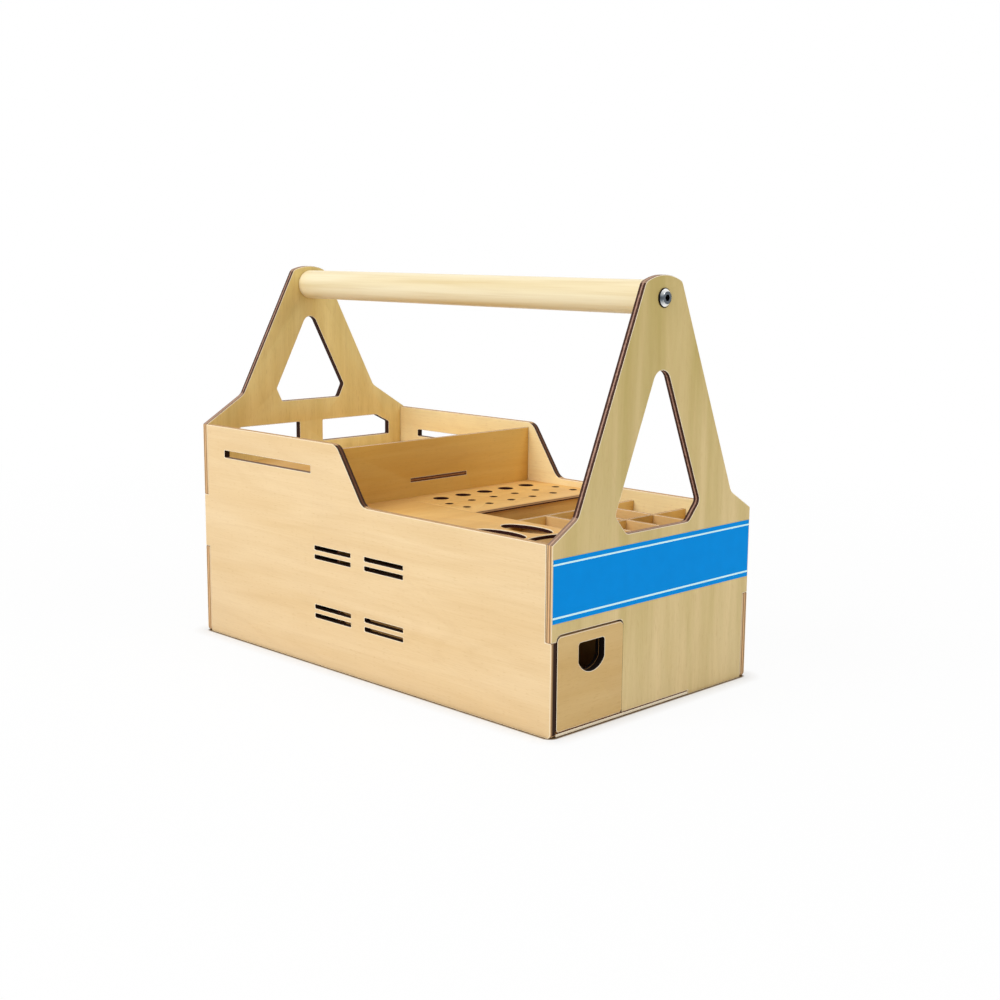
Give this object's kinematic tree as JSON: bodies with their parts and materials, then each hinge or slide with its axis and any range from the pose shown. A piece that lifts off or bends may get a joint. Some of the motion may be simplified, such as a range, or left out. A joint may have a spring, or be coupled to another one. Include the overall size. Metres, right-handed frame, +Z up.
{
  "type": "tool tote with drawer",
  "caption": "Open wooden tool tote with a dowel handle between two A-shaped end frames, a rear tray, a drilled tool deck, oval cup holes, a divided parts tray and a drawer.",
  "frame": {"origin": "centre of the base, on the surface that the tote stands on", "axes": "+X along the tote towards the drawer end, +Y across it, +Z up"},
  "size_m": [0.3694, 0.2, 0.2798],
  "materials": {
    "plywood": "sanded birch plywood with laser-burned edges",
    "thin_plywood": "sanded thin plywood with laser-burned edges",
    "dowel_wood": "turned hardwood",
    "steel": "zinc-plated",
    "brass": "turned",
    "blue_film": "printed adhesive film"
  },
  "bodies": {
    "tote": {"near_end_panel": "plywood", "far_end_panel": "plywood", "near_side_panel": "plywood", "far_side_panel": "plywood", "floor_panel": "thin_plywood", "rear_shelf": "thin_plywood", "cross_divider": "thin_plywood", "tool_deck": "thin_plywood", "cup_shelf": "thin_plywood", "tunnel_wall": "thin_plywood", "tunnel_roof": "thin_plywood", "cup_cross_wall": "thin_plywood", "tray_cross_wall": "thin_plywood", "tray_floor": "thin_plywood", "tray_cross_divider_1": "thin_plywood", "tray_cross_divider_2": "thin_plywood", "tray_long_divider_1": "thin_plywood", "tray_long_divider_2": "thin_plywood", "tray_long_divider_3": "thin_plywood", "handle_dowel": "dowel_wood", "handle_inserts": "brass", "handle_washers": "steel", "handle_screws": "steel", "end_band": "blue_film"},
    "drawer": {"drawer_front": "plywood", "drawer_inner_front": "thin_plywood", "drawer_back": "thin_plywood", "drawer_outer_side": "thin_plywood", "drawer_inner_side": "thin_plywood", "drawer_floor": "thin_plywood"}
  },
  "joints": [
    {"name": "drawer_slide", "type": "slide", "parent": "tote", "child": "drawer", "axis": [1, 0, 0], "range_m": [0, 0.15]}
  ]
}
